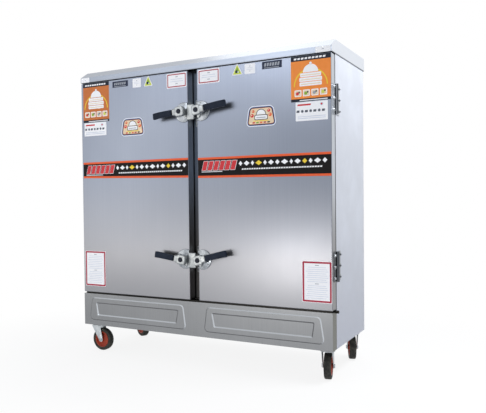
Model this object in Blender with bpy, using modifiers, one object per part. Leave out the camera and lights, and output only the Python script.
"""Two-door steamer cabinet on casters, built as separate solids in metres, +Z up.

The origin is on the floor, in the middle of the footprint that the levers and the rear pipe ends give.
X runs along the front, and the doors face -Y. Depths are counted backwards from the faces of the doors.
"""

import math

import bmesh
import bpy
from mathutils import Matrix, Vector

# Overall sizes
CABINET_WIDTH = 1.420
CABINET_HEIGHT = 1.562
BODY_DEPTH = 0.545
SHEET = 0.0015
FIT_GAP = 0.0003
OVERRUN = 0.010
MERGE = 0.00001

# Levels of the base, the doors and the cover
BASE_BOTTOM = 0.1525
BASE_HEIGHT = 0.1745
DOOR_BOTTOM_GAP = 0.009
DOOR_TOP_GAP = 0.004
COVER_DEPTH = 0.0635
COVER_NOSE_HEIGHT = 0.028
COVER_SIDE_LAP = 0.0025
COVER_REAR_LAP = 0.012
PANEL_TOP_LAP = 0.030

# Doors
DOOR_THICKNESS = 0.050
DOOR_GAP = 0.053
DOOR_FOLD_RADIUS = 0.003
DOOR_LINER_BORDER = 0.070
DOOR_LINER_DISH = 0.006
DOOR_LINER_SLOPE = 0.012
DOOR_LINER_SKIRT = 0.020
SEAL_SPACE = 0.008
GASKET_WIDTH = 0.014
GASKET_INSET = 0.008
GASKET_ROUNDING = 0.0025

# Front frame and the two chambers
MULLION_HALF = 0.045
WALL = 0.035
CHAMBER_REAR_SPACE = 0.095
CHAMBER_LIP = 0.012
SILL_RISE = 0.018
CHAMBER_FLOOR = 0.352
FLANGE = 0.020
FLOOR_LEDGE = 0.030
RELIEF_RADIUS = 0.012
RELIEF_WALL = 0.002
RELIEF_DROP = 0.060
REAR_PIPE_REACH = 0.025

# Tray racks
RACK_DEPTH_SPACE = 0.060
RACK_UPRIGHT = 0.020
RACK_THICKNESS = 0.010
RACK_LEVELS = 12
RACK_FIRST = 0.070
RACK_HEADROOM = 0.0575
LEDGE_REACH = 0.010
LEDGE_THICKNESS = 0.002

# Steam plates
STEAM_PLATE = 0.003
STEAM_PLATE_LAP = 0.014
STEAM_HOLE_RADIUS = 0.010
STEAM_HOLE_SIDES = 6
STEAM_HOLE_COLUMNS = 4
STEAM_HOLE_ROWS = 3

# Base: skirt, embossed panels, drip rail, chassis
SKIRT_PANEL_RISE = 0.004
SKIRT_PANEL_SLOPE = 0.006
SKIRT_PANEL_RADIUS = 0.022
SKIRT_PANEL_TOP_INSET = 0.019
SKIRT_PANEL_BOTTOM_INSET = 0.027
SKIRT_PANEL_END_TOP = 0.055
SKIRT_PANEL_END_BOTTOM = 0.035
SKIRT_PANEL_MIDDLE_TOP = 0.067
SKIRT_PANEL_MIDDLE_BOTTOM = 0.050
SKIRT_FIELD_BORDER = 0.034
SKIRT_FIELD_TAPER = 0.014
SKIRT_FIELD_SIDE = 0.016
SKIRT_FIELD_RADIUS = 0.005
SKIRT_FIELD_SLOPE = 0.003
DRIP_RAIL_FRONT = 0.012
DRIP_RAIL_REAR = 0.0565
DRIP_RAIL_HEIGHT = 0.006
DRIP_RAIL_END = 0.006
SPOUT_RADIUS = 0.007
SPOUT_WALL = 0.0015
SPOUT_REACH = 0.0145
SPOUT_DEPTH = 0.046
CHASSIS_BOTTOM = 0.160
CHASSIS_HEIGHT = 0.030
CHASSIS_MEMBER = 0.060
CHASSIS_CROSS = 0.040
CASTER_PLATE_WIDTH = 0.085
CASTER_PLATE_DEPTH = 0.100
CASTER_PLATE = 0.004
RACE_RADIUS = 0.027
RACE_HEIGHT = 0.006
KINGPIN_RADIUS = 0.006
KINGPIN_RISE = 0.0055

# Water tank, heater and water inlet
TANK_SIDE_SPACE = 0.060
TANK_FRONT = 0.090
TANK_REAR_SPACE = 0.045
TANK_RIM = 0.015
HEATER_TUBE_RADIUS = 0.0055
HEATER_LOOPS = 3
HEATER_LOOP_SPACING = 0.110
HEATER_LOOP_WIDTH = 0.050
HEATER_HEIGHT = 0.035
HEATER_END_CLEARANCE = 0.090
HEATER_BEND_STEPS = 8
HEATER_FLANGE = 0.006
HEATER_FLANGE_MARGIN = 0.020
HEATER_CAP_DEPTH = 0.040
INLET_RADIUS = 0.0105
INLET_BELOW_FLOOR = 0.024
INLET_REACH = 0.045
INLET_DROP = 0.030
INLET_BEND = 0.020
INLET_COLLAR = 0.018
INLET_COLLAR_THICKNESS = 0.005
INLET_BORE = 0.0085
INLET_BORE_DEPTH = 0.015
DRAIN_RADIUS = 0.0135
DRAIN_WALL = 0.002
DRAIN_OFFSET = 0.350
DRAIN_RISE = 0.020
GLAND_RADIUS = 0.012
GLAND_REACH = 0.014
GLAND_BORE = 0.006
GLAND_OFFSET = 0.450
GLAND_HEIGHT = 0.250

# Hinges
HINGE_LENGTH = 0.137
HINGE_BELOW_TOP = 0.202
HINGE_ABOVE_BOTTOM = 0.1965
HINGE_STANDOFF = 0.0085
HINGE_SEAM_OFFSET = 0.002
KNUCKLE_RADIUS = 0.0075
KNUCKLE_GAP = 0.0005
KNUCKLE_SIDES = 12
PIN_RADIUS = 0.004
PIN_CLEARANCE = 0.0003
LEAF_THICKNESS = 0.003
LEAF_CLEARANCE = 0.0009
DOOR_LEAF_WIDTH = 0.033
BODY_LEAF_WIDTH = 0.056
LEAF_LOBE = 0.012
LEAF_LOBES = 3
LEAF_LOBE_SPACING = 0.0515
LEAF_WAIST = 0.008

# Latches
LATCH_BELOW_TOP = 0.2085
LATCH_ABOVE_BOTTOM = 0.208
LATCH_SPACING = 0.097
LATCH_BASE_RADIUS = 0.0505
LATCH_BASE = 0.006
LATCH_BASE_EDGE = 0.002
LATCH_BASE_SIDES = 20
BOLT_RADIUS = 0.008
BOLT_CLEARANCE = 0.0004
BOLT_HEAD_RADIUS = 0.0105
BOLT_HEAD = 0.0035
CAM_RADIUS = 0.0175
CAM_CLEARANCE = 0.0012
CAM_THICKNESS = 0.006
TONGUE_LENGTH = 0.036
TONGUE_WIDTH = 0.014
HUB_HALF = 0.024
HUB_RADIUS = 0.011
HUB_BEVEL = 0.0035
HUB_REAR = 0.028
HUB_FRONT = 0.058
HUB_RECESS_RADIUS = 0.0118
HUB_RECESS = 0.0055
ARM_END = 0.041
ARM_HEIGHT = 0.034
ARM_REAR = 0.036
ARM_FRONT = 0.0565
ARM_ROUNDING = 0.004
TANG_LENGTH = 0.040
TANG_HEIGHT = 0.016
TANG_THICKNESS = 0.006
GRIP_LENGTH = 0.118
GRIP_HEIGHT = 0.032
GRIP_DEPTH = 0.018
GRIP_AXIS = 0.0515
GRIP_ROUNDING = 0.004
KEEPER_HEAD_WIDTH = 0.042
KEEPER_HEAD_HEIGHT = 0.076
KEEPER_HEAD_DROP = 0.004
KEEPER_HEAD = 0.010
KEEPER_HEAD_REAR = 0.016
KEEPER_ROUNDING = 0.003
KEEPER_CORNER = 0.006
KEEPER_NECK_WIDTH = 0.018
KEEPER_NECK_HEIGHT = 0.052
KEEPER_FLANGE_WIDTH = 0.026
KEEPER_FLANGE_HEIGHT = 0.136
KEEPER_FLANGE = 0.004

# Casters
CASTER_SIDE_INSET = 0.046
CASTER_FRONT_INSET = 0.068
CASTER_REAR_INSET = 0.058
CASTER_TRAIL = 0.030
WHEEL_RADIUS = 0.0625
WHEEL_SIDES = 28
TYRE_HALF_WIDTH = 0.017
TYRE_SHOULDER = 0.005
TYRE_SEAT_RADIUS = 0.0443
HUB_RIM_HALF_WIDTH = 0.0165
WHEEL_HUB_RADIUS = 0.0437
WHEEL_HUB_SIDES = 16
WHEEL_HUB_RIM = 0.006
WHEEL_HUB_WEB_HALF = 0.009
WHEEL_BOSS_RADIUS = 0.013
WHEEL_BOSS_HALF = 0.022
AXLE_RADIUS = 0.005
AXLE_CLEARANCE = 0.0003
AXLE_NUT_RADIUS = 0.008
AXLE_NUT = 0.0045
FORK_LEG = 0.003
FORK_LEG_CLEARANCE = 0.0065
FORK_TOP_HALF = 0.028
FORK_FOOT_RADIUS = 0.013
FORK_LEG_TOP = 0.140
CROWN_RADIUS = 0.035
CROWN_TOP_RADIUS = 0.028
CROWN_RIM = 0.003

# Angles in degrees, as the photograph shows them at rest
LEVER_REST_ANGLES = {"upper_left": -5.0, "upper_right": 9.0, "lower_left": 8.5, "lower_right": 14.5}
LEVER_LATCHED_ANGLE = -62.0
GRIP_ANGLE = 5.5
SWIVEL_ANGLES = {"front_left": 0.0, "front_right": 102.0, "rear_left": -30.0, "rear_right": 111.0}
ROUND_STEPS = 3
FLAT_ANGLE = 30.0

# Places that follow from the sizes above
HALF_WIDTH = CABINET_WIDTH / 2
GRIP_FRONT = GRIP_AXIS + GRIP_DEPTH / 2
FACE_Y = (GRIP_FRONT - BODY_DEPTH - REAR_PIPE_REACH) / 2
BASE_TOP = BASE_BOTTOM + BASE_HEIGHT
DOOR_BOTTOM = BASE_TOP + DOOR_BOTTOM_GAP
COVER_BOTTOM = CABINET_HEIGHT - COVER_DEPTH
DOOR_TOP = COVER_BOTTOM - DOOR_TOP_GAP
FRAME_DEPTH = DOOR_THICKNESS + SEAL_SPACE
PANEL_DEPTH = FRAME_DEPTH + SHEET + FIT_GAP
PANEL_TOP = COVER_BOTTOM + PANEL_TOP_LAP
CHASSIS_TOP = CHASSIS_BOTTOM + CHASSIS_HEIGHT
CHAMBER_TOP = COVER_BOTTOM - WALL
CHAMBER_OUTER = HALF_WIDTH - WALL
CHAMBER_DEPTH = BODY_DEPTH - CHAMBER_REAR_SPACE
CHAMBER_REAR = PANEL_DEPTH + CHAMBER_DEPTH
SILL = CHAMBER_FLOOR + SILL_RISE
RACK_DEPTH = CHAMBER_DEPTH - RACK_DEPTH_SPACE
RACK_START = SILL + RACK_FIRST
RACK_HEAD = CHAMBER_TOP - RACK_HEADROOM
RACK_SPACING = (RACK_HEAD - RACK_UPRIGHT - RACK_START) / (RACK_LEVELS - 1)
TANK_HALF_WIDTH = HALF_WIDTH - TANK_SIDE_SPACE
TANK_REAR = BODY_DEPTH - TANK_REAR_SPACE
INLET_HEIGHT = CHAMBER_FLOOR - INLET_BELOW_FLOOR
HINGE_UPPER = DOOR_TOP - HINGE_BELOW_TOP
HINGE_LOWER = DOOR_BOTTOM + HINGE_ABOVE_BOTTOM
LATCH_UPPER = DOOR_TOP - LATCH_BELOW_TOP
LATCH_LOWER = DOOR_BOTTOM + LATCH_ABOVE_BOTTOM
HINGE_X = HALF_WIDTH + HINGE_STANDOFF
HINGE_DEPTH = FRAME_DEPTH - HINGE_SEAM_OFFSET
PIVOT_X = LATCH_SPACING / 2
AXLE_Z = WHEEL_RADIUS * math.cos(math.pi / WHEEL_SIDES)
CASTER_X = HALF_WIDTH - CASTER_SIDE_INSET
CASTER_REAR_DEPTH = BODY_DEPTH - CASTER_REAR_INSET
BOLT_END = HUB_FRONT - HUB_RECESS
GRIP_START = GRIP_DEPTH / 2 * math.sin(math.radians(GRIP_ANGLE)) + FIT_GAP

for item in list(bpy.data.objects):
    bpy.data.objects.remove(item, do_unlink=True)

PARTS = bpy.data.collections.new("steamer_cabinet")
CUTTERS = bpy.data.collections.new("steamer_cabinet_cutters")
bpy.context.scene.collection.children.link(PARTS)
bpy.context.scene.collection.children.link(CUTTERS)


def linear(channel):
    """One sRGB channel, 0 to 255, as linear light."""
    value = channel / 255
    if value <= 0.04045:
        return value / 12.92
    return ((value + 0.055) / 1.055) ** 2.4


def make_material(name, colour, roughness, metallic):
    """A plain Principled material from an sRGB hex colour."""
    result = bpy.data.materials.new(name)
    result.use_nodes = True
    shader = result.node_tree.nodes["Principled BSDF"]
    channels = [linear(int(colour[i : i + 2], 16)) for i in (0, 2, 4)]
    shader.inputs["Base Color"].default_value = (*channels, 1.0)
    shader.inputs["Roughness"].default_value = roughness
    shader.inputs["Metallic"].default_value = metallic
    result.diffuse_color = (*channels, 1.0)
    return result


BRUSHED = make_material("brushed_stainless", "B4BAC6", 0.32, 1.0)
SATIN = make_material("satin_stainless", "D2D8E2", 0.28, 1.0)
POLISHED = make_material("polished_stainless", "C4C8CC", 0.12, 1.0)
INNER = make_material("inner_stainless", "C6CACE", 0.30, 1.0)
CASTING = make_material("cast_alloy", "B9BDC0", 0.38, 1.0)
ZINC = make_material("zinc_plated_steel", "B8BEC0", 0.35, 1.0)
GRIP_PLASTIC = make_material("grip_plastic", "262A34", 0.45, 0.0)
SEAL_RUBBER = make_material("seal_rubber", "3A3634", 0.70, 0.0)
TYRE_RUBBER = make_material("tyre_rubber", "1D1E1C", 0.75, 0.0)
HUB_PLASTIC = make_material("hub_plastic", "8E2F1C", 0.50, 0.0)
FOAM = make_material("foam_insulation", "D8CFA8", 0.90, 0.0)
HEATER_METAL = make_material("heater_metal", "8A8880", 0.35, 1.0)
TUBE_STEEL = make_material("tube_steel", "9EA2A6", 0.45, 1.0)


def depth(distance):
    """The Y of a plane this far behind the door faces."""
    return FACE_Y + distance


def new_object(name, mesh, material, location=(0, 0, 0), rotation=(0, 0, 0), parent=None):
    """Puts a mesh in the model as one named piece."""
    piece = bpy.data.objects.new(name, mesh)
    PARTS.objects.link(piece)
    if not mesh.materials:
        mesh.materials.append(material)
    piece.location = location
    piece.rotation_euler = rotation
    piece.parent = parent
    return piece


def new_axis(name, location, rotation=(0, 0, 0)):
    """An empty that stands on a joint's axis and carries the pieces that turn about it."""
    axis = bpy.data.objects.new(name, None)
    PARTS.objects.link(axis)
    axis.location = location
    axis.rotation_euler = rotation
    return axis


def carry(piece, axis):
    """Hangs a piece that is placed in the cabinet's frame on an axis that isn't turned."""
    piece.parent = axis
    piece.matrix_parent_inverse = Matrix.Translation(-axis.location)


def as_tool(tool):
    """Moves an object among the cutters, drawn as wire and left out of the model."""
    for home in tool.users_collection:
        home.objects.unlink(tool)
    CUTTERS.objects.link(tool)
    tool.hide_render = True
    tool.display_type = "WIRE"
    return tool


def boolean(piece, operation, tool):
    """Adds a live Boolean that cuts the tool away from the piece, or joins it on."""
    step = piece.modifiers.new(operation.lower(), "BOOLEAN")
    step.operation = operation
    step.solver = "EXACT"
    step.object = tool


def bevel(piece, width, segments=1):
    """Rounds the edges that are sharper than the flat angle."""
    step = piece.modifiers.new("rounding", "BEVEL")
    step.width = width
    step.segments = segments
    step.limit_method = "ANGLE"
    step.angle_limit = math.radians(FLAT_ANGLE)


def solidify(piece, thickness):
    """Gives an open surface its wall, on the inner side of its faces."""
    step = piece.modifiers.new("wall", "SOLIDIFY")
    step.thickness = thickness
    step.offset = -1.0
    step.solidify_mode = "NON_MANIFOLD"
    step.nonmanifold_thickness_mode = "CONSTRAINTS"


def finished(piece, name):
    """The mesh of an object with its modifiers worked out, in the object's own frame."""
    bpy.context.view_layer.update()
    graph = bpy.context.evaluated_depsgraph_get()
    mesh = bpy.data.meshes.new_from_object(piece.evaluated_get(graph), depsgraph=graph)
    mesh.name = name
    return mesh


def combined(name, base, joined=(), cut=()):
    """One closed mesh: base with every joined mesh added and every cut mesh taken away."""
    made = []
    for number, mesh in enumerate([base, *joined, *cut]):
        thing = bpy.data.objects.new(f"{name}_{number}", mesh)
        made.append(as_tool(thing))
    for tool in made[1 : 1 + len(joined)]:
        boolean(made[0], "UNION", tool)
    for tool in made[1 + len(joined) :]:
        boolean(made[0], "DIFFERENCE", tool)
    result = finished(made[0], name)
    for thing in made:
        bpy.data.objects.remove(thing, do_unlink=True)
    return result


def moved(mesh, matrix):
    """The same mesh, placed by a matrix."""
    mesh.transform(matrix)
    return mesh


def smooth(mesh):
    """Shades a round piece smooth, with its real edges kept sharp."""
    mesh.shade_smooth()
    mesh.set_sharp_from_angle(angle=math.radians(FLAT_ANGLE))
    return mesh


def cleaned(mesh):
    """The same mesh with its seams closed and its faces looking outwards."""
    shape = bmesh.new()
    shape.from_mesh(mesh)
    bmesh.ops.remove_doubles(shape, verts=shape.verts, dist=MERGE)
    bmesh.ops.recalc_face_normals(shape, faces=shape.faces)
    return bmesh_to_mesh(mesh.name, shape)


def look_towards(shape, direction):
    """Turns the faces of an open sheet so that they look one way."""
    shape.normal_update()
    if sum(face.normal.dot(Vector(direction)) * face.calc_area() for face in shape.faces) < 0:
        bmesh.ops.reverse_faces(shape, faces=shape.faces)


def bmesh_to_mesh(name, shape):
    """Stores a bmesh as a mesh and frees it."""
    mesh = bpy.data.meshes.new(name)
    shape.to_mesh(mesh)
    shape.free()
    return mesh


def block_mesh(name, low, high):
    """A box between two corners."""
    low, high = Vector(low), Vector(high)
    shape = bmesh.new()
    bmesh.ops.create_cube(shape, size=1.0)
    bmesh.ops.scale(shape, vec=high - low, verts=shape.verts)
    bmesh.ops.translate(shape, vec=(low + high) / 2, verts=shape.verts)
    return bmesh_to_mesh(name, shape)


def rod_mesh(name, radius, start, end, sides):
    """A cylinder from one point to another."""
    start, end = Vector(start), Vector(end)
    run = end - start
    shape = bmesh.new()
    bmesh.ops.create_cone(
        shape, cap_ends=True, segments=sides, radius1=radius, radius2=radius, depth=run.length
    )
    turn = Vector((0, 0, 1)).rotation_difference(run).to_matrix().to_4x4()
    bmesh.ops.transform(shape, matrix=Matrix.Translation((start + end) / 2) @ turn, verts=shape.verts)
    return bmesh_to_mesh(name, shape)


def turned_mesh(name, profile, sides, closed=False):
    """A solid of revolution about Z, from (radius, height) points down its outer side."""
    shape = bmesh.new()
    points = [shape.verts.new((radius, 0, height)) for radius, height in profile]
    pairs = list(zip(points, points[1:]))
    if closed:
        pairs.append((points[-1], points[0]))
    for first, second in pairs:
        shape.edges.new((first, second))
    outline = bpy.data.objects.new(name, bmesh_to_mesh(name, shape))
    as_tool(outline)
    spin = outline.modifiers.new("turning", "SCREW")
    spin.steps = sides
    spin.render_steps = sides
    spin.use_merge_vertices = True
    spin.merge_threshold = MERGE
    spin.use_smooth_shade = True
    result = finished(outline, name)
    bpy.data.objects.remove(outline, do_unlink=True)
    result.transform(Matrix.Rotation(math.pi / sides, 4, "Z"))
    return smooth(cleaned(result))


def rounded_outline(corners, radius):
    """The corners of a flat outline, each replaced by a short arc."""
    points = []
    for number, corner in enumerate(corners):
        here = Vector(corner)
        back = (Vector(corners[number - 1]) - here).normalized()
        onward = (Vector(corners[(number + 1) % len(corners)]) - here).normalized()
        half = back.angle(onward) / 2
        centre = here + (back + onward).normalized() * radius / math.sin(half)
        first = here + back * radius / math.tan(half) - centre
        last = here + onward * radius / math.tan(half) - centre
        sweep = first.angle_signed(last)
        for step in range(ROUND_STEPS + 1):
            arm = first.copy()
            arm.rotate(Matrix.Rotation(-sweep * step / ROUND_STEPS, 2))
            points.append(tuple(centre + arm))
    return points


def inset_corners(corners, distance):
    """The corners of a flat outline, listed counter-clockwise, moved in by a distance."""
    result = []
    for number, corner in enumerate(corners):
        here = Vector(corner)
        back = (Vector(corners[number - 1]) - here).normalized()
        onward = (Vector(corners[(number + 1) % len(corners)]) - here).normalized()
        half = back.angle(onward) / 2
        result.append(tuple(here + (back + onward).normalized() * distance / math.sin(half)))
    return result


def plate_mesh(name, outline, low, high):
    """A flat outline in X and Y, given a thickness from one height to another."""
    curve = bpy.data.curves.new(name, "CURVE")
    curve.dimensions = "2D"
    curve.fill_mode = "BOTH"
    curve.extrude = (high - low) / 2
    spline = curve.splines.new("POLY")
    spline.points.add(len(outline) - 1)
    for point, place in zip(spline.points, outline):
        point.co = (*place, 0, 1)
    spline.use_cyclic_u = True
    sheet = as_tool(bpy.data.objects.new(name, curve))
    mesh = cleaned(finished(sheet, name))
    bpy.data.objects.remove(sheet, do_unlink=True)
    return moved(mesh, Matrix.Translation((0, 0, (low + high) / 2)))


def loft_mesh(name, sections):
    """A closed body through flat outlines, each given as (outline, height), with as many points."""
    shape = bmesh.new()
    loops = []
    for outline, height in sections:
        points = [shape.verts.new((x, y, height)) for x, y in outline]
        ring = [shape.edges.new((a, b)) for a, b in zip(points, points[1:] + points[:1])]
        loops.append(ring)
    for lower, upper in zip(loops, loops[1:]):
        bmesh.ops.bridge_loops(shape, edges=lower + upper)
    bmesh.ops.contextual_create(shape, geom=loops[0])
    bmesh.ops.contextual_create(shape, geom=loops[-1])
    bmesh.ops.recalc_face_normals(shape, faces=shape.faces)
    return bmesh_to_mesh(name, shape)


def open_box_mesh(name, low, high, open_sides):
    """The faces of a box without the sides named by their outward directions."""
    low, high = Vector(low), Vector(high)
    shape = bmesh.new()
    bmesh.ops.create_cube(shape, size=1.0)
    bmesh.ops.scale(shape, vec=high - low, verts=shape.verts)
    bmesh.ops.translate(shape, vec=(low + high) / 2, verts=shape.verts)
    shape.normal_update()
    gone = [f for f in shape.faces for side in open_sides if f.normal.dot(Vector(side)) > 0.5]
    bmesh.ops.delete(shape, geom=gone, context="FACES")
    return bmesh_to_mesh(name, shape)


def tube_mesh(name, points, radius, resolution):
    """A round bar along a path, with closed ends."""
    curve = bpy.data.curves.new(name, "CURVE")
    curve.dimensions = "3D"
    curve.bevel_depth = radius
    curve.bevel_resolution = resolution
    curve.use_fill_caps = True
    spline = curve.splines.new("POLY")
    spline.points.add(len(points) - 1)
    for point, place in zip(spline.points, points):
        point.co = (*place, 1)
    bar = as_tool(bpy.data.objects.new(name, curve))
    mesh = cleaned(finished(bar, name))
    bpy.data.objects.remove(bar, do_unlink=True)
    return smooth(mesh)


FRONT = (0, -1, 0)
REAR = (0, 1, 0)
UP = (0, 0, 1)
DOWN = (0, 0, -1)
FACING = (math.pi / 2, 0, 0)
PIPE_SIDES = 12
SIDES = {"left": -1, "right": 1}
LEVELS = {"upper": LATCH_UPPER, "lower": LATCH_LOWER}
HINGE_LEVELS = {"upper": HINGE_UPPER, "lower": HINGE_LOWER}


def make_top_cover():
    """The folded lid: a low pan turned over, whose front edge slopes back over the doors."""
    low = Vector((-HALF_WIDTH - COVER_SIDE_LAP, depth(0), COVER_BOTTOM))
    high = Vector((HALF_WIDTH + COVER_SIDE_LAP, depth(BODY_DEPTH + COVER_REAR_LAP), CABINET_HEIGHT))
    shape = bmesh.new()
    shape.from_mesh(open_box_mesh("top_cover", low, high, [DOWN]))
    rise = COVER_DEPTH - COVER_NOSE_HEIGHT
    slope = Vector((0, -rise, FRAME_DEPTH)).normalized()
    crease = (0, depth(0), COVER_BOTTOM + COVER_NOSE_HEIGHT)
    everything = list(shape.verts) + list(shape.edges) + list(shape.faces)
    cut = bmesh.ops.bisect_plane(shape, geom=everything, plane_co=crease, plane_no=slope, clear_outer=True)
    rim = [item for item in cut["geom_cut"] if isinstance(item, bmesh.types.BMEdge)]
    bmesh.ops.contextual_create(shape, geom=rim)
    bmesh.ops.recalc_face_normals(shape, faces=shape.faces)
    cover = new_object("top_cover", bmesh_to_mesh("top_cover", shape), BRUSHED)
    solidify(cover, SHEET)


def make_side_panel(name, side):
    """A side sheet with a folded flange at its front and its rear edge."""
    inner = side * (HALF_WIDTH - FLANGE)
    outer = side * HALF_WIDTH
    low = (min(inner, outer), depth(PANEL_DEPTH), BASE_BOTTOM)
    high = (max(inner, outer), depth(BODY_DEPTH - SHEET - FIT_GAP), PANEL_TOP)
    title = f"side_panel_{name}"
    panel = new_object(title, open_box_mesh(title, low, high, [UP, DOWN, (-side, 0, 0)]), SATIN)
    solidify(panel, SHEET)
    inner, outer = sorted((side * (HALF_WIDTH - FLANGE - OVERRUN), side * (HALF_WIDTH - SHEET)))
    low = (inner, depth(0), BASE_BOTTOM - OVERRUN)
    relief = block_mesh("flange_relief", low, (outer, depth(BODY_DEPTH), CHASSIS_TOP + FIT_GAP))
    boolean(panel, "DIFFERENCE", as_tool(bpy.data.objects.new(f"flange_relief_{name}", relief)))


def make_back_panel():
    """The rear sheet, with holes for the pipes and a boss for the supply cable's gland."""
    rear = BODY_DEPTH
    low = (-HALF_WIDTH, depth(rear - SHEET), BASE_BOTTOM)
    high = (HALF_WIDTH, depth(rear), PANEL_TOP)
    panel = new_object("back_panel", block_mesh("back_panel", low, high), SATIN)
    gland = (-GLAND_OFFSET, GLAND_HEIGHT)
    boss = rod_mesh(
        "gland_boss",
        GLAND_RADIUS,
        (gland[0], depth(rear - SHEET / 2), gland[1]),
        (gland[0], depth(rear + GLAND_REACH), gland[1]),
        PIPE_SIDES,
    )
    boolean(panel, "UNION", as_tool(bpy.data.objects.new("gland_boss", boss)))
    holes = [
        ("gland_bore", *gland, GLAND_BORE, GLAND_REACH),
        ("drain_hole", DRAIN_OFFSET, CHASSIS_TOP + DRAIN_RISE, DRAIN_RADIUS + FIT_GAP * 2, 0),
        ("inlet_hole", 0, INLET_HEIGHT, INLET_RADIUS + FIT_GAP * 2, 0),
    ]
    for name, side in SIDES.items():
        middle = side * (CHAMBER_OUTER + MULLION_HALF) / 2
        holes.append((f"relief_hole_{name}", middle, CHAMBER_TOP - RELIEF_DROP, RELIEF_RADIUS + FIT_GAP * 2, 0))
    for name, x, z, radius, reach in holes:
        start = (x, depth(rear - SHEET - OVERRUN), z)
        end = (x, depth(rear + reach + OVERRUN), z)
        cutter = rod_mesh(name, radius, start, end, PIPE_SIDES)
        boolean(panel, "DIFFERENCE", as_tool(bpy.data.objects.new(name, cutter)))


def make_front_frame():
    """The sheet behind the doors, with a folded lip around the mouth of each chamber."""
    inner = MULLION_HALF + CHAMBER_LIP
    outer = CHAMBER_OUTER - CHAMBER_LIP
    sill, head = SILL, CHAMBER_TOP - CHAMBER_LIP
    front, back = depth(FRAME_DEPTH), depth(FRAME_DEPTH + SHEET)
    plate = block_mesh("plate", (-HALF_WIDTH, front, CHASSIS_TOP + FIT_GAP), (HALF_WIDTH, back, PANEL_TOP))
    frame = new_object("front_frame", plate, POLISHED)
    for name, side in SIDES.items():
        left, right = sorted((side * inner, side * outer))
        end = depth(FRAME_DEPTH + CHAMBER_LIP)
        lip = block_mesh("lip", (left - SHEET, front, sill - SHEET), (right + SHEET, end, head + SHEET))
        boolean(frame, "UNION", as_tool(bpy.data.objects.new(f"mouth_lip_{name}", lip)))
        mouth = block_mesh("mouth", (left, front - OVERRUN, sill), (right, end + OVERRUN, head))
        boolean(frame, "DIFFERENCE", as_tool(bpy.data.objects.new(f"mouth_{name}", mouth)))


def make_chamber(name, side):
    """One chamber's inner box, open at the front, with its steam opening and relief pipe."""
    inner, outer = sorted((side * MULLION_HALF, side * CHAMBER_OUTER))
    front, rear = depth(PANEL_DEPTH), depth(CHAMBER_REAR)
    title = f"chamber_liner_{name}"
    mesh = open_box_mesh(title, (inner, front, CHAMBER_FLOOR), (outer, rear, CHAMBER_TOP), [FRONT])
    liner = new_object(title, mesh, INNER)
    solidify(liner, SHEET)
    middle = (inner + outer) / 2
    height = CHAMBER_TOP - RELIEF_DROP
    wall = depth(CHAMBER_REAR - SHEET / 2)
    mouth = depth(BODY_DEPTH + REAR_PIPE_REACH)
    pipe = rod_mesh("relief_pipe", RELIEF_RADIUS, (middle, wall, height), (middle, mouth, height), PIPE_SIDES)
    boolean(liner, "UNION", as_tool(bpy.data.objects.new(f"relief_pipe_{name}", pipe)))
    start = (middle, rear - OVERRUN, height)
    end = (middle, mouth + OVERRUN, height)
    bore = rod_mesh("relief_bore", RELIEF_RADIUS - RELIEF_WALL, start, end, PIPE_SIDES)
    boolean(liner, "DIFFERENCE", as_tool(bpy.data.objects.new(f"relief_bore_{name}", bore)))
    ledge = FLOOR_LEDGE
    window = block_mesh(
        "steam_window",
        (inner + ledge, depth(TANK_FRONT), CHAMBER_FLOOR - OVERRUN),
        (outer - ledge, depth(TANK_REAR - ledge), CHAMBER_FLOOR + OVERRUN),
    )
    boolean(liner, "DIFFERENCE", as_tool(bpy.data.objects.new(f"steam_window_{name}", window)))


def make_steam_plate(name, side):
    """The perforated plate that lies over a chamber's steam opening."""
    inner, outer = sorted((side * MULLION_HALF, side * CHAMBER_OUTER))
    lap = FLOOR_LEDGE - STEAM_PLATE_LAP
    bottom = CHAMBER_FLOOR + SHEET + FIT_GAP
    low = Vector((inner + lap, depth(TANK_FRONT - STEAM_PLATE_LAP), bottom))
    high = Vector((outer - lap, depth(TANK_REAR - lap), bottom + STEAM_PLATE))
    title = f"steam_plate_{name}"
    holes = bmesh.new()
    for column in range(STEAM_HOLE_COLUMNS):
        for row in range(STEAM_HOLE_ROWS):
            across = (column + 0.5) / STEAM_HOLE_COLUMNS
            along = (row + 0.5) / STEAM_HOLE_ROWS
            place = (low.x + (high.x - low.x) * across, low.y + (high.y - low.y) * along, bottom)
            bmesh.ops.create_cone(
                holes,
                cap_ends=True,
                segments=STEAM_HOLE_SIDES,
                radius1=STEAM_HOLE_RADIUS,
                radius2=STEAM_HOLE_RADIUS,
                depth=OVERRUN * 2,
                matrix=Matrix.Translation(place),
            )
    cutter = as_tool(bpy.data.objects.new(f"steam_holes_{name}", bmesh_to_mesh("steam_holes", holes)))
    boolean(new_object(title, block_mesh(title, low, high), INNER), "DIFFERENCE", cutter)


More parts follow.
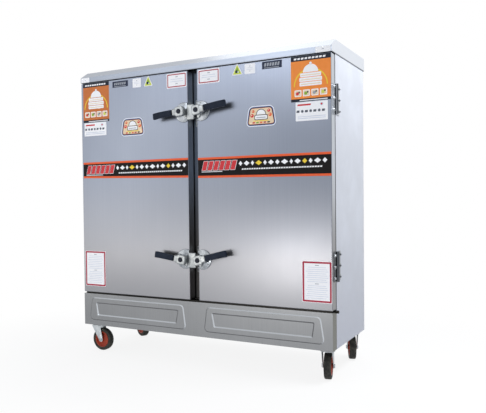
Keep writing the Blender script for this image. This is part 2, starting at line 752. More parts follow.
def make_insulation():
    """The foam between the outer sheets and the two inner boxes."""
    half = HALF_WIDTH - SHEET - FIT_GAP
    front = depth(PANEL_DEPTH + SHEET + FIT_GAP)
    rear = depth(BODY_DEPTH - SHEET * 2 - FIT_GAP * 2)
    top = CABINET_HEIGHT - SHEET - FIT_GAP
    block = block_mesh("insulation_block", (-half, front, CHAMBER_FLOOR), (half, rear, top))
    foam = new_object("insulation_block", block, FOAM)
    for name, side in SIDES.items():
        inner, outer = sorted((side * MULLION_HALF, side * CHAMBER_OUTER))
        pocket = block_mesh(
            "liner_pocket",
            (inner - FIT_GAP, front - OVERRUN, CHAMBER_FLOOR - OVERRUN),
            (outer + FIT_GAP, depth(CHAMBER_REAR + FIT_GAP), CHAMBER_TOP + FIT_GAP),
        )
        boolean(foam, "DIFFERENCE", as_tool(bpy.data.objects.new(f"liner_pocket_{name}", pocket)))
        middle = (inner + outer) / 2
        height = CHAMBER_TOP - RELIEF_DROP
        start = (middle, depth(CHAMBER_REAR - OVERRUN), height)
        end = (middle, rear + OVERRUN, height)
        sleeve = rod_mesh("relief_sleeve", RELIEF_RADIUS + FIT_GAP * 2, start, end, PIPE_SIDES)
        boolean(foam, "DIFFERENCE", as_tool(bpy.data.objects.new(f"relief_sleeve_{name}", sleeve)))


def make_rack(title, side, against):
    """A ladder of ledges that the tray rims slide on, with its back against a chamber wall."""
    if against == "outer":
        wall, inward = side * (CHAMBER_OUTER - SHEET - FIT_GAP), -side
    else:
        wall, inward = side * (MULLION_HALF + SHEET + FIT_GAP), side
    face = wall + inward * RACK_THICKNESS
    front = depth(PANEL_DEPTH + CHAMBER_LIP + (CHAMBER_DEPTH - CHAMBER_LIP - RACK_DEPTH) / 2)
    foot = CHAMBER_FLOOR + SHEET + FIT_GAP
    uprights = bmesh.new()
    for near in (front, front + RACK_DEPTH - RACK_UPRIGHT):
        low = Vector((min(wall, face), near, foot))
        high = Vector((max(wall, face), near + RACK_UPRIGHT, RACK_HEAD))
        add_block(uprights, low, high)
    tip = face + inward * LEDGE_REACH
    sunk = wall + inward * RACK_THICKNESS / 2
    ledges = bmesh.new()
    for level in range(RACK_LEVELS):
        height = RACK_START + RACK_SPACING * level
        low = Vector((min(sunk, tip), front - LEDGE_THICKNESS, height - LEDGE_THICKNESS))
        high = Vector((max(sunk, tip), front + RACK_DEPTH + LEDGE_THICKNESS, height))
        add_block(ledges, low, high)
    rack = new_object(title, bmesh_to_mesh(title, uprights), INNER)
    boolean(rack, "UNION", as_tool(bpy.data.objects.new(f"{title}_ledges", bmesh_to_mesh("ledges", ledges))))


def add_block(shape, low, high):
    """Adds one more box to a shape in the making."""
    corners = bmesh.ops.create_cube(shape, size=1.0)["verts"]
    bmesh.ops.scale(shape, vec=high - low, verts=corners)
    bmesh.ops.translate(shape, vec=(low + high) / 2, verts=corners)


def make_base_skirt():
    """The plinth front with its two pressed panels, side returns and top flange."""
    low = (-HALF_WIDTH, depth(0), BASE_BOTTOM)
    high = (HALF_WIDTH, depth(FRAME_DEPTH - FIT_GAP), BASE_TOP)
    skirt = new_object("base_skirt", open_box_mesh("base_skirt", low, high, [REAR, DOWN]), BRUSHED)
    solidify(skirt, SHEET)
    top = BASE_TOP - SKIRT_PANEL_TOP_INSET
    bottom = BASE_BOTTOM + SKIRT_PANEL_BOTTOM_INSET
    for name, side in SIDES.items():
        corners = [
            (side * SKIRT_PANEL_MIDDLE_BOTTOM, bottom),
            (side * (HALF_WIDTH - SKIRT_PANEL_END_BOTTOM), bottom),
            (side * (HALF_WIDTH - SKIRT_PANEL_END_TOP), top),
            (side * SKIRT_PANEL_MIDDLE_TOP, top),
        ]
        step = SKIRT_FIELD_BORDER
        narrow = step + SKIRT_FIELD_SIDE + SKIRT_FIELD_TAPER
        field = [
            (corners[0][0] + side * narrow, bottom + step),
            (corners[1][0] - side * narrow, bottom + step),
            (corners[2][0] - side * step, top - step),
            (corners[3][0] + side * step, top - step),
        ]
        raised = pressed_mesh(corners, SKIRT_PANEL_RADIUS, SKIRT_PANEL_SLOPE, -SHEET / 2, SKIRT_PANEL_RISE)
        hollow = pressed_mesh(field, SKIRT_FIELD_RADIUS, -SKIRT_FIELD_SLOPE, 0, SKIRT_PANEL_RISE + OVERRUN)
        for title, mesh, operation in (("raised", raised, "UNION"), ("hollow", hollow, "DIFFERENCE")):
            tool = as_tool(bpy.data.objects.new(f"skirt_{title}_{name}", mesh))
            tool.location = (0, depth(0), 0)
            tool.rotation_euler = FACING
            boolean(skirt, operation, tool)
    notch = spout_rod("spout_notch", SPOUT_RADIUS + FIT_GAP * 2, FIT_GAP, OVERRUN)
    boolean(skirt, "DIFFERENCE", as_tool(bpy.data.objects.new("spout_notch", notch)))


def pressed_mesh(corners, radius, slope, low, high):
    """A rounded flat panel whose front is smaller than its back by the slope, or larger if it is negative."""
    ordered = corners if corners[1][0] > corners[0][0] else corners[::-1]
    back = rounded_outline(ordered, radius)
    front = rounded_outline(inset_corners(ordered, slope), radius - slope)
    return loft_mesh("pressed_panel", [(back, low), (front, high)])


def spout_rod(name, radius, before, beyond):
    """A round bar along X where the drip rail's spout leaves the right end of the base."""
    start = (HALF_WIDTH - DRIP_RAIL_END - SPOUT_REACH - before, depth(SPOUT_DEPTH), BASE_TOP)
    end = (HALF_WIDTH + SPOUT_REACH + beyond, depth(SPOUT_DEPTH), BASE_TOP)
    return rod_mesh(name, radius, start, end, PIPE_SIDES)


def make_drip_rail():
    """The shallow gutter under the doors, which empties through a spout at its right end."""
    bottom = BASE_TOP + FIT_GAP
    half = HALF_WIDTH - DRIP_RAIL_END
    low = (-half, depth(DRIP_RAIL_FRONT), bottom)
    high = (half, depth(DRIP_RAIL_REAR), bottom + DRIP_RAIL_HEIGHT)
    rail = new_object("drip_rail", open_box_mesh("drip_rail", low, high, [UP]), POLISHED)
    solidify(rail, SHEET)
    spout = spout_rod("spout", SPOUT_RADIUS, 0, 0)
    boolean(rail, "UNION", as_tool(bpy.data.objects.new("spout", spout)))
    inside = SPOUT_RADIUS - SPOUT_WALL
    bore = spout_rod("spout_bore", inside, -SPOUT_WALL, OVERRUN)
    boolean(rail, "DIFFERENCE", as_tool(bpy.data.objects.new("spout_bore", bore)))
    low = (half - SPOUT_REACH + SPOUT_WALL, depth(SPOUT_DEPTH) - inside, BASE_TOP)
    high = (half - SHEET, depth(SPOUT_DEPTH) + inside, BASE_TOP + SPOUT_RADIUS + SPOUT_WALL)
    mouth = block_mesh("spout_mouth", low, high)
    boolean(rail, "DIFFERENCE", as_tool(bpy.data.objects.new("spout_mouth", mouth)))


def caster_places():
    """Each caster's corner with its swivel axis."""
    for row, distance in (("front", CASTER_FRONT_INSET), ("rear", CASTER_REAR_DEPTH)):
        for name, side in SIDES.items():
            yield f"{row}_{name}", (side * CASTER_X, depth(distance))


def make_chassis():
    """The welded tube frame that carries the cabinet, with the casters' plates and ball races."""
    half = HALF_WIDTH - SHEET - FIT_GAP
    front = depth(SHEET + FIT_GAP)
    rear = depth(BODY_DEPTH - SHEET * 2 - FIT_GAP * 2)
    frame_block = block_mesh("base_chassis", (-half, front, CHASSIS_BOTTOM), (half, rear, CHASSIS_TOP))
    chassis = new_object("base_chassis", frame_block, TUBE_STEEL)
    windows = bmesh.new()
    bars = [-half, -half / 3, half / 3, half]
    for number, (left, right) in enumerate(zip(bars, bars[1:])):
        near = CHASSIS_MEMBER if number == 0 else CHASSIS_CROSS / 2
        far = CHASSIS_MEMBER if number == 2 else CHASSIS_CROSS / 2
        low = Vector((left + near, front + CHASSIS_MEMBER, CHASSIS_BOTTOM - OVERRUN))
        high = Vector((right - far, rear - CHASSIS_MEMBER, CHASSIS_TOP + OVERRUN))
        add_block(windows, low, high)
    plates = bmesh.new()
    sockets = bmesh.new()
    for place in (spot for _, spot in caster_places()):
        reach = Vector((CASTER_PLATE_WIDTH / 2, CASTER_PLATE_DEPTH / 2, 0))
        spot = Vector((*place, CHASSIS_BOTTOM))
        thick = Vector((0, 0, CASTER_PLATE))
        add_block(plates, spot - reach - thick, spot + reach + thick)
        bottom = CHASSIS_BOTTOM - CASTER_PLATE
        bmesh.ops.create_cone(
            sockets,
            cap_ends=True,
            segments=PIPE_SIDES,
            radius1=KINGPIN_RADIUS + FIT_GAP * 2,
            radius2=KINGPIN_RADIUS + FIT_GAP * 2,
            depth=(RACE_HEIGHT + FIT_GAP * 2) * 2,
            matrix=Matrix.Translation((*place, bottom - RACE_HEIGHT)),
        )
    races = bmesh.new()
    for place in (spot for _, spot in caster_places()):
        bmesh.ops.create_cone(
            races,
            cap_ends=True,
            segments=WHEEL_HUB_SIDES,
            radius1=RACE_RADIUS,
            radius2=RACE_RADIUS,
            depth=RACE_HEIGHT + CASTER_PLATE / 2,
            matrix=Matrix.Translation((*place, CHASSIS_BOTTOM - CASTER_PLATE - RACE_HEIGHT / 2 + CASTER_PLATE / 4)),
        )
    for title, shape, operation in (
        ("chassis_windows", windows, "DIFFERENCE"),
        ("chassis_plates", plates, "UNION"),
        ("chassis_races", races, "UNION"),
        ("chassis_sockets", sockets, "DIFFERENCE"),
    ):
        boolean(chassis, operation, as_tool(bpy.data.objects.new(title, bmesh_to_mesh(title, shape))))


def make_water_tank():
    """The shallow boiling pan below both chambers, with a rim, a heater port and a drain."""
    bottom = CHASSIS_TOP + FIT_GAP
    top = CHAMBER_FLOOR - FIT_GAP - SHEET
    low = (-TANK_HALF_WIDTH, depth(TANK_FRONT), bottom)
    high = (TANK_HALF_WIDTH, depth(TANK_REAR), top)
    shape = bmesh.new()
    shape.from_mesh(open_box_mesh("water_tank", low, high, [UP]))
    rim = [edge for edge in shape.edges if edge.is_boundary]
    added = bmesh.ops.extrude_edge_only(shape, edges=rim)["geom"]
    middle = depth((TANK_FRONT + TANK_REAR) / 2)
    for vert in (item for item in added if isinstance(item, bmesh.types.BMVert)):
        vert.co.x += math.copysign(TANK_RIM, vert.co.x)
        vert.co.y += math.copysign(TANK_RIM, vert.co.y - middle)
    tank = new_object("water_tank", bmesh_to_mesh("water_tank", shape), INNER)
    solidify(tank, SHEET)
    height = CHASSIS_TOP + DRAIN_RISE
    wall = depth(TANK_REAR - SHEET / 2)
    mouth = depth(BODY_DEPTH + REAR_PIPE_REACH)
    drain = rod_mesh("drain", DRAIN_RADIUS, (DRAIN_OFFSET, wall, height), (DRAIN_OFFSET, mouth, height), PIPE_SIDES)
    start = (DRAIN_OFFSET, depth(TANK_REAR) - OVERRUN, height)
    end = (DRAIN_OFFSET, mouth + OVERRUN, height)
    bore = rod_mesh("drain_bore", DRAIN_RADIUS - DRAIN_WALL, start, end, PIPE_SIDES)
    inlet_start = (0, depth(TANK_REAR) - OVERRUN, INLET_HEIGHT)
    inlet_end = (0, depth(TANK_REAR) + OVERRUN, INLET_HEIGHT)
    inlet = rod_mesh("inlet_port", INLET_RADIUS + FIT_GAP * 2, inlet_start, inlet_end, PIPE_SIDES)
    reach = heater_half_span() + HEATER_TUBE_RADIUS + FIT_GAP
    level = heater_level()
    port = block_mesh(
        "heater_port",
        (TANK_HALF_WIDTH - OVERRUN, heater_middle() - reach, level - HEATER_TUBE_RADIUS - FIT_GAP),
        (TANK_HALF_WIDTH + OVERRUN, heater_middle() + reach, level + HEATER_TUBE_RADIUS + FIT_GAP),
    )
    boolean(tank, "UNION", as_tool(bpy.data.objects.new("drain", drain)))
    for title, mesh in (("drain_bore", bore), ("inlet_port", inlet), ("heater_port", port)):
        boolean(tank, "DIFFERENCE", as_tool(bpy.data.objects.new(title, mesh)))


def heater_middle():
    """The Y of the middle of the heater's loops."""
    return depth((TANK_FRONT + TANK_REAR) / 2)


def heater_level():
    """The height of the heater's tubes."""
    return CHASSIS_TOP + HEATER_HEIGHT


def heater_half_span():
    """From the middle of the heater to the axis of its outermost tube."""
    return HEATER_LOOP_SPACING * (HEATER_LOOPS - 1) / 2 + HEATER_LOOP_WIDTH / 2


def make_heater():
    """Three long hairpin elements on one flange, with the cap over their terminals."""
    level = heater_level()
    reach = heater_half_span() + HEATER_TUBE_RADIUS + HEATER_FLANGE_MARGIN
    margin = HEATER_TUBE_RADIUS + HEATER_FLANGE_MARGIN
    seat = TANK_HALF_WIDTH + FIT_GAP
    flange = block_mesh(
        "heater_flange",
        (seat, heater_middle() - reach, level - margin),
        (seat + HEATER_FLANGE, heater_middle() + reach, level + margin),
    )
    cap = block_mesh(
        "heater_cap",
        (seat + HEATER_FLANGE / 2, heater_middle() - reach + HEATER_FLANGE_MARGIN / 2, level - HEATER_FLANGE_MARGIN),
        (seat + HEATER_CAP_DEPTH, heater_middle() + reach - HEATER_FLANGE_MARGIN / 2, level + HEATER_FLANGE_MARGIN),
    )
    far = -TANK_HALF_WIDTH + HEATER_END_CLEARANCE
    bend = HEATER_LOOP_WIDTH / 2
    loops = []
    for number in range(HEATER_LOOPS):
        middle = heater_middle() + HEATER_LOOP_SPACING * (number - (HEATER_LOOPS - 1) / 2)
        points = [(seat + HEATER_FLANGE / 2, middle - bend, level)]
        for step in range(HEATER_BEND_STEPS + 1):
            angle = math.pi * step / HEATER_BEND_STEPS
            points.append((far - bend * math.sin(angle), middle - bend * math.cos(angle), level))
        points.append((seat + HEATER_FLANGE / 2, middle + bend, level))
        loops.append(tube_mesh("heater_loop", points, HEATER_TUBE_RADIUS, 1))
    mesh = combined("heater_element", flange, joined=[cap, *loops])
    new_object("heater_element", mesh, HEATER_METAL)


def make_water_inlet():
    """The fill pipe, from a collar on the rear sheet to a spout that turns down over the tank."""
    rear = depth(BODY_DEPTH + REAR_PIPE_REACH)
    inside = depth(TANK_REAR - INLET_REACH)
    points = [(0, rear, INLET_HEIGHT), (0, inside + INLET_BEND, INLET_HEIGHT)]
    for step in range(1, ROUND_STEPS + 1):
        angle = math.pi / 2 * step / ROUND_STEPS
        drop = INLET_BEND * (1 - math.cos(angle))
        points.append((0, inside + INLET_BEND * (1 - math.sin(angle)), INLET_HEIGHT - drop))
    points.append((0, inside, INLET_HEIGHT - INLET_DROP))
    pipe = tube_mesh("inlet_pipe", points, INLET_RADIUS, 2)
    seat = depth(BODY_DEPTH + FIT_GAP)
    collar = rod_mesh(
        "inlet_collar", INLET_COLLAR, (0, seat, INLET_HEIGHT), (0, seat + INLET_COLLAR_THICKNESS, INLET_HEIGHT), 6
    )
    start = (0, rear - INLET_BORE_DEPTH, INLET_HEIGHT)
    bore = rod_mesh("inlet_bore", INLET_BORE, start, (0, rear + OVERRUN, INLET_HEIGHT), PIPE_SIDES)
    new_object("water_inlet", combined("water_inlet", pipe, joined=[collar], cut=[bore]), ZINC)


def leaf_outline(near, far):
    """A hinge leaf's outline in depth and height, with three rounded lobes along its free edge."""
    half = HINGE_LENGTH / 2
    direction = math.copysign(1, far - near)
    waist = far - direction * LEAF_WAIST
    points = [(near, -half), (waist, -half)]
    for number in range(LEAF_LOBES):
        middle = LEAF_LOBE_SPACING * (number - (LEAF_LOBES - 1) / 2)
        for step in range(2 * ROUND_STEPS + 1):
            angle = math.pi * (step / (2 * ROUND_STEPS) - 0.5)
            out = direction * LEAF_WAIST * math.cos(angle)
            points.append((waist + out, middle + LEAF_LOBE * math.sin(angle)))
    return points + [(waist, half), (near, half)]


def upright_plate(name, outline, inner, outer):
    """A plate whose outline is in depth and height, between two places along X."""
    mesh = plate_mesh(name, outline, min(inner, outer), max(inner, outer))
    turn = Matrix(((0, 0, 1, 0), (1, 0, 0, 0), (0, 1, 0, 0), (0, 0, 0, 1)))
    return moved(mesh, turn)


def knuckle(name, radius, low, high):
    """A round barrel on a hinge's axis."""
    return rod_mesh(name, radius, (0, 0, low), (0, 0, high), KNUCKLE_SIDES)


def make_leaves(side):
    """The two leaves of one hinge, in the frame of its axis: on the door, and on the cabinet."""
    plate = -side * (HINGE_STANDOFF - FIT_GAP)
    face = plate + side * LEAF_THICKNESS
    clear = KNUCKLE_RADIUS + LEAF_CLEARANCE
    half = HINGE_LENGTH / 2
    third = HINGE_LENGTH / 6
    tab = third - KNUCKLE_GAP
    door_leaf = upright_plate("door_leaf", leaf_outline(-clear, -clear - DOOR_LEAF_WIDTH), plate, face)
    door_tab = block_mesh("tab", (min(plate, face), -clear - LEAF_THICKNESS, -tab), (max(plate, face), 0, tab))
    door_barrel = knuckle("barrel", KNUCKLE_RADIUS, -tab, tab)
    bore = knuckle("bore", PIN_RADIUS + PIN_CLEARANCE, -half, half)
    door_leaf = combined("door_leaf", door_leaf, joined=[door_tab, door_barrel], cut=[bore])
    body_leaf = upright_plate("body_leaf", leaf_outline(clear, clear + BODY_LEAF_WIDTH), plate, face)
    extras = [knuckle("pin", PIN_RADIUS, -half + PIN_RADIUS, half - PIN_RADIUS)]
    for low, high in ((-half, -third), (third, half)):
        inner, outer = sorted((plate, face))
        extras.append(block_mesh("tab", (inner, 0, low), (outer, clear + LEAF_THICKNESS, high)))
        extras.append(knuckle("barrel", KNUCKLE_RADIUS, low, high))
    body_leaf = combined("body_leaf", body_leaf, joined=extras)
    return smooth(door_leaf), smooth(body_leaf)


def make_door(name, side, axis):
    """A door's outer pan, its dished inner sheet and its seal."""
    inner, outer = sorted((side * DOOR_GAP / 2, side * HALF_WIDTH))
    rear = depth(DOOR_THICKNESS)
    title = f"door_shell_{name}"
    pan = open_box_mesh(title, (inner, depth(0), DOOR_BOTTOM), (outer, rear, DOOR_TOP), [REAR])
    shell = new_object(title, pan, BRUSHED)
    bevel(shell, DOOR_FOLD_RADIUS, 2)
    solidify(shell, SHEET)
    carry(shell, axis)
    gap = SHEET + FIT_GAP
    liner = make_door_liner(f"door_liner_{name}", (inner + gap, DOOR_BOTTOM + gap), (outer - gap, DOOR_TOP - gap))
    carry(liner, axis)
    carry(make_gasket(f"door_gasket_{name}", inner, outer), axis)


def make_door_liner(title, low, high):
    """The inner sheet: a shallow dish with its edges folded forwards into the pan."""
    shape = bmesh.new()
    rear = depth(DOOR_THICKNESS)
    bmesh.ops.create_grid(shape, x_segments=1, y_segments=1, size=1.0)
    for vert in shape.verts:
        x = high[0] if vert.co.x > 0 else low[0]
        z = high[1] if vert.co.y > 0 else low[1]
        vert.co = (x, rear, z)
    look_towards(shape, REAR)
    skirt = bmesh.ops.extrude_edge_only(shape, edges=list(shape.edges))["geom"]
    folded = [item for item in skirt if isinstance(item, bmesh.types.BMVert)]
    bmesh.ops.translate(shape, vec=(0, -DOOR_LINER_SKIRT, 0), verts=folded)
    shape.normal_update()
    field = [face for face in shape.faces if face.normal.y > 0.5]
    bmesh.ops.inset_region(shape, faces=field, thickness=DOOR_LINER_BORDER, use_even_offset=True)
    bmesh.ops.inset_region(shape, faces=field, thickness=DOOR_LINER_SLOPE, use_even_offset=True)
    dished = {vert for face in field for vert in face.verts}
    bmesh.ops.translate(shape, vec=(0, -DOOR_LINER_DISH, 0), verts=list(dished))
    liner = new_object(title, bmesh_to_mesh(title, shape), INNER)
    bevel(liner, DOOR_FOLD_RADIUS)
    solidify(liner, SHEET)
    return liner


def make_gasket(title, inner, outer):
    """The soft seal that runs round the back of a door and meets the front frame."""
    bottom, top = DOOR_BOTTOM + GASKET_INSET, DOOR_TOP - GASKET_INSET
    left, right = inner + GASKET_INSET, outer - GASKET_INSET
    near = depth(DOOR_THICKNESS + FIT_GAP)
    far = depth(FRAME_DEPTH - FIT_GAP)
    ring = block_mesh(title, (left, near, bottom), (right, far, top))
    window = block_mesh(
        "gasket_window",
        (left + GASKET_WIDTH, near - OVERRUN, bottom + GASKET_WIDTH),
        (right - GASKET_WIDTH, far + OVERRUN, top - GASKET_WIDTH),
    )
    gasket = new_object(title, ring, SEAL_RUBBER)
    boolean(gasket, "DIFFERENCE", as_tool(bpy.data.objects.new(f"{title}_window", window)))
    bevel(gasket, GASKET_ROUNDING)
    return gasket


def make_latch_base_mesh(side):
    """The round flange on the door with the bolt that its lever turns on."""
    profile = [
        (0, BOLT_END + BOLT_CLEARANCE + BOLT_HEAD),
        (BOLT_HEAD_RADIUS, BOLT_END + BOLT_CLEARANCE + BOLT_HEAD),
        (BOLT_HEAD_RADIUS, BOLT_END + BOLT_CLEARANCE),
        (BOLT_RADIUS, BOLT_END + BOLT_CLEARANCE),
        (BOLT_RADIUS, LATCH_BASE + FIT_GAP),
        (LATCH_BASE_RADIUS - LATCH_BASE_EDGE, LATCH_BASE + FIT_GAP),
        (LATCH_BASE_RADIUS, LATCH_BASE + FIT_GAP - LATCH_BASE_EDGE),
        (LATCH_BASE_RADIUS, FIT_GAP),
        (0, FIT_GAP),
    ]
    flange = turned_mesh("latch_base", profile, LATCH_BASE_SIDES)
    edge = PIVOT_X - DOOR_GAP / 2 - FIT_GAP
    near, far = sorted((-side * edge, -side * (LATCH_BASE_RADIUS + OVERRUN)))
    reach = LATCH_BASE_RADIUS + OVERRUN
    waste = block_mesh("door_edge", (near, -reach, -OVERRUN), (far, reach, LATCH_BASE + OVERRUN))
    return combined("latch_base", flange, cut=[waste])


def make_lever_mesh(side):
    """The cast lever: its cam with the locking tongue, its hub, and the arm with the grip's tang."""
    def square(half, radius):
        return rounded_outline([(-half, -half), (half, -half), (half, half), (-half, half)], radius)

    hub = loft_mesh(
        "hub",
        [
            (square(HUB_HALF - HUB_BEVEL, HUB_RADIUS - HUB_BEVEL), HUB_REAR),
            (square(HUB_HALF, HUB_RADIUS), HUB_REAR + HUB_BEVEL),
            (square(HUB_HALF, HUB_RADIUS), HUB_FRONT - HUB_BEVEL),
            (square(HUB_HALF - HUB_BEVEL, HUB_RADIUS - HUB_BEVEL), HUB_FRONT),
        ],
    )
    cam_rear = LATCH_BASE + FIT_GAP + CAM_CLEARANCE
    cam = rod_mesh("cam", CAM_RADIUS, (0, 0, cam_rear), (0, 0, HUB_REAR + HUB_BEVEL), LATCH_BASE_SIDES)
    half = TONGUE_WIDTH / 2
    outline = [(0, -half)]
    for step in range(2 * ROUND_STEPS + 1):
        angle = math.pi * (step / (2 * ROUND_STEPS) - 0.5)
        outline.append((TONGUE_LENGTH - half + half * math.cos(angle), half * math.sin(angle)))
    outline.append((0, half))
    tongue = plate_mesh("tongue", outline, cam_rear, cam_rear + CAM_THICKNESS)
    direction = 180.0 - LEVER_LATCHED_ANGLE
    tongue = moved(tongue, Matrix.Rotation(math.radians(direction), 4, "Z"))
    arm = block_mesh("arm", (0, -ARM_HEIGHT / 2, ARM_REAR), (ARM_END, ARM_HEIGHT / 2, ARM_FRONT))
    arm_object = as_tool(bpy.data.objects.new("arm", arm))
    bevel(arm_object, ARM_ROUNDING)
    arm = finished(arm_object, "arm")
    bpy.data.objects.remove(arm_object, do_unlink=True)
    tang = block_mesh(
        "tang",
        (-ARM_ROUNDING, -TANG_HEIGHT / 2, -TANG_THICKNESS / 2),
        (TANG_LENGTH, TANG_HEIGHT / 2, TANG_THICKNESS / 2),
    )
    lean = Matrix.Rotation(math.radians(GRIP_ANGLE), 4, "Y")
    tang = moved(tang, Matrix.Translation((ARM_END, 0, GRIP_AXIS)) @ lean)
    bore = rod_mesh("bore", BOLT_RADIUS + BOLT_CLEARANCE, (0, 0, 0), (0, 0, HUB_FRONT + OVERRUN), LATCH_BASE_SIDES)
    recess = rod_mesh("recess", HUB_RECESS_RADIUS, (0, 0, BOLT_END), (0, 0, HUB_FRONT + OVERRUN), LATCH_BASE_SIDES)
    lever = combined("lever", hub, joined=[cam, tongue, arm, tang], cut=[bore, recess])
    if side < 0:
        mirror_mesh(lever)
    return smooth(lever)


def mirror_mesh(mesh):
    """Turns a right-hand mesh into its left-hand twin."""
    mesh.transform(Matrix.Scale(-1, 4, (1, 0, 0)))
    mesh.flip_normals()


def make_grip_mesh(side):
    """The moulded sleeve over the lever's tang."""
    low = (GRIP_START, -GRIP_HEIGHT / 2, -GRIP_DEPTH / 2)
    blank = block_mesh("sleeve", low, (GRIP_LENGTH, GRIP_HEIGHT / 2, GRIP_DEPTH / 2))
    sleeve = as_tool(bpy.data.objects.new("sleeve", blank))
    bevel(sleeve, GRIP_ROUNDING, 2)
    body = finished(sleeve, "sleeve")
    bpy.data.objects.remove(sleeve, do_unlink=True)
    socket = block_mesh(
        "socket",
        (-OVERRUN, -TANG_HEIGHT / 2 - FIT_GAP, -TANG_THICKNESS / 2 - FIT_GAP),
        (TANG_LENGTH + FIT_GAP, TANG_HEIGHT / 2 + FIT_GAP, TANG_THICKNESS / 2 + FIT_GAP),
    )
    grip = combined("grip", body, cut=[socket])
    if side < 0:
        mirror_mesh(grip)
    return grip


def make_keeper_mesh():
    """The catch on the mullion: a foot plate, a neck between the doors and a wide head."""
    width, height = KEEPER_HEAD_WIDTH / 2, KEEPER_HEAD_HEIGHT / 2
    front = KEEPER_HEAD_REAR + KEEPER_HEAD
    low, high = -height - KEEPER_HEAD_DROP, height - KEEPER_HEAD_DROP
    corners = [(-width, low), (width, low), (width, high), (-width, high)]
    head = loft_mesh(
        "head",
        [
            (rounded_outline(corners, KEEPER_CORNER), KEEPER_HEAD_REAR),
            (rounded_outline(corners, KEEPER_CORNER), front - KEEPER_ROUNDING),
            (
                rounded_outline(inset_corners(corners, KEEPER_ROUNDING), KEEPER_CORNER - KEEPER_ROUNDING),
                front,
            ),
        ],
    )
    foot = -FRAME_DEPTH + FIT_GAP
    middle = -KEEPER_HEAD_DROP
    neck = block_mesh(
        "neck",
        (-KEEPER_NECK_WIDTH / 2, middle - KEEPER_NECK_HEIGHT / 2, foot + KEEPER_FLANGE / 2),
        (KEEPER_NECK_WIDTH / 2, middle + KEEPER_NECK_HEIGHT / 2, KEEPER_HEAD_REAR + KEEPER_HEAD / 2),
    )
    across, along = KEEPER_FLANGE_WIDTH / 2, KEEPER_FLANGE_HEIGHT / 2
    plate = [
        (-across, middle - along),
        (across, middle - along),
        (across, middle + along),
        (-across, middle + along),
    ]
    flange = plate_mesh("flange", rounded_outline(plate, across / 2), foot, foot + KEEPER_FLANGE)
    return combined("latch_keeper", head, joined=[neck, flange])


def make_latches(door_axes):
    """The keepers on the cabinet, and each door's latch bases, levers and grips."""
    keeper = make_keeper_mesh()
    for level, height in LEVELS.items():
        new_object(f"latch_keeper_{level}", keeper, CASTING, (0, depth(0), height), FACING)
    for name, side in SIDES.items():
        base = make_latch_base_mesh(side)
        lever = make_lever_mesh(side)
        grip = make_grip_mesh(side)
        for level, height in LEVELS.items():
            place = (side * PIVOT_X, depth(0), height)
            tag = f"{level}_{name}"
            carry(new_object(f"latch_base_{tag}", base, CASTING, place, FACING), door_axes[name])
            pivot = new_axis(f"lever_axis_{tag}", place, (FACING[0], math.radians(-side * LEVER_REST_ANGLES[tag]), 0))
            carry(pivot, door_axes[name])
            new_object(f"lever_{tag}", lever, CASTING, parent=pivot)
            seat = (side * ARM_END, 0, GRIP_AXIS)
            lean = (0, math.radians(side * GRIP_ANGLE), 0)
            new_object(f"grip_{tag}", grip, GRIP_PLASTIC, seat, lean, pivot)


def make_fork_mesh():
    """The caster's fork in the frame of its swivel axis: crown, two legs and the axle with its nuts."""
    race_bottom = CHASSIS_BOTTOM - CASTER_PLATE - RACE_HEIGHT
    crown_top = race_bottom - FIT_GAP
    crown = turned_mesh(
        "crown",
        [
            (0, race_bottom + KINGPIN_RISE),
            (KINGPIN_RADIUS, race_bottom + KINGPIN_RISE),
            (KINGPIN_RADIUS, crown_top),
            (CROWN_TOP_RADIUS, crown_top),
            (CROWN_RADIUS, FORK_LEG_TOP + CROWN_RIM / 2),
            (CROWN_RADIUS, FORK_LEG_TOP - CROWN_RIM / 2),
            (0, FORK_LEG_TOP - CROWN_RIM / 2),
        ],
        WHEEL_HUB_SIDES,
    )
    outline = [(-FORK_TOP_HALF, FORK_LEG_TOP), (-FORK_TOP_HALF, FORK_LEG_TOP - CROWN_RIM * 2)]
    for step in range(2 * ROUND_STEPS + 1):
        angle = math.pi * (1 + step / (2 * ROUND_STEPS))
        outline.append(
            (CASTER_TRAIL + FORK_FOOT_RADIUS * math.cos(angle), AXLE_Z + FORK_FOOT_RADIUS * math.sin(angle))
        )
    outline += [(FORK_TOP_HALF, FORK_LEG_TOP - CROWN_RIM * 2), (FORK_TOP_HALF, FORK_LEG_TOP)]
    stand = Matrix.Rotation(math.pi / 2, 4, "X")
    inner = TYRE_HALF_WIDTH + FORK_LEG_CLEARANCE
    extras = []
    for low in (inner, -inner - FORK_LEG):
        extras.append(moved(plate_mesh("leg", outline, low, low + FORK_LEG), stand))
    end = inner + FORK_LEG
    extras.append(axle_rod("axle", AXLE_RADIUS, -end, end))
    for low, high in ((end - FORK_LEG / 2, end + AXLE_NUT), (-end - AXLE_NUT, -end + FORK_LEG / 2)):
        extras.append(axle_rod("nut", AXLE_NUT_RADIUS, low, high, 6))
    return combined("caster_fork", crown, joined=extras)


def axle_rod(name, radius, low, high, sides=PIPE_SIDES):
    """A round bar along a wheel's axle."""
    return rod_mesh(name, radius, (CASTER_TRAIL, low, AXLE_Z), (CASTER_TRAIL, high, AXLE_Z), sides)


def make_tyre_mesh():
    """The rubber tread ring, about Z."""
    wide, shoulder = TYRE_HALF_WIDTH, TYRE_SHOULDER
    profile = [
        (TYRE_SEAT_RADIUS, wide),
        (WHEEL_RADIUS - shoulder, wide),
        (WHEEL_RADIUS, wide - shoulder),
        (WHEEL_RADIUS, -wide + shoulder),
        (WHEEL_RADIUS - shoulder, -wide),
        (TYRE_SEAT_RADIUS, -wide),
    ]
    return turned_mesh("caster_tyre", profile, WHEEL_SIDES, closed=True)


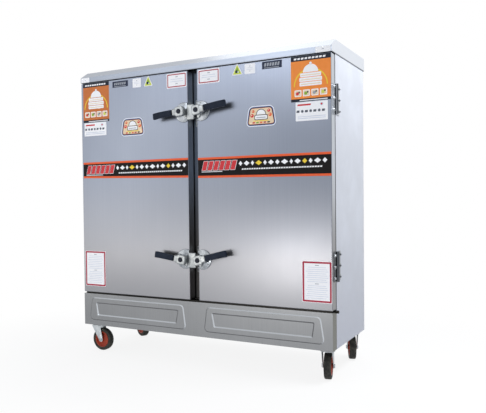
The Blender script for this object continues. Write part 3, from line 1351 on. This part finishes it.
def make_hub_mesh():
    """The moulded wheel centre, about Z: a rim, a thin web and a boss with the axle's bore."""
    half = [
        (AXLE_RADIUS + AXLE_CLEARANCE, WHEEL_BOSS_HALF),
        (WHEEL_BOSS_RADIUS, WHEEL_BOSS_HALF),
        (WHEEL_HUB_RADIUS - WHEEL_HUB_RIM, WHEEL_HUB_WEB_HALF),
        (WHEEL_HUB_RADIUS - WHEEL_HUB_RIM, HUB_RIM_HALF_WIDTH),
        (WHEEL_HUB_RADIUS, HUB_RIM_HALF_WIDTH),
    ]
    profile = half + [(radius, -height) for radius, height in reversed(half)]
    return turned_mesh("caster_hub", profile, WHEEL_HUB_SIDES, closed=True)


def make_casters():
    """Four swivel casters, each turned as the photograph shows it."""
    fork, tyre, hub = make_fork_mesh(), make_tyre_mesh(), make_hub_mesh()
    for name, place in caster_places():
        swivel = new_axis(f"swivel_axis_{name}", (*place, 0), (0, 0, math.radians(SWIVEL_ANGLES[name])))
        new_object(f"caster_fork_{name}", fork, ZINC, parent=swivel)
        centre = (CASTER_TRAIL, 0, AXLE_Z)
        new_object(f"caster_hub_{name}", hub, HUB_PLASTIC, centre, FACING, swivel)
        new_object(f"caster_tyre_{name}", tyre, TYRE_RUBBER, centre, FACING, swivel)


def main():
    """Builds the whole cabinet."""
    make_top_cover()
    make_back_panel()
    make_front_frame()
    make_insulation()
    make_base_skirt()
    make_drip_rail()
    make_chassis()
    make_water_tank()
    make_heater()
    make_water_inlet()
    door_axes = {}
    for name, side in SIDES.items():
        make_side_panel(name, side)
        make_chamber(name, side)
        make_steam_plate(name, side)
        for against in ("outer", "inner"):
            make_rack(f"tray_rack_{name}_{against}", side, against)
        axis = new_axis(f"door_axis_{name}", (side * HINGE_X, depth(HINGE_DEPTH), 0))
        door_axes[name] = axis
        make_door(name, side, axis)
        door_leaf, body_leaf = make_leaves(side)
        for level, height in HINGE_LEVELS.items():
            place = (side * HINGE_X, depth(HINGE_DEPTH), height)
            new_object(f"body_leaf_{level}_{name}", body_leaf, CASTING, place)
            carry(new_object(f"door_leaf_{level}_{name}", door_leaf, CASTING, place), axis)
    make_latches(door_axes)
    make_casters()


main()
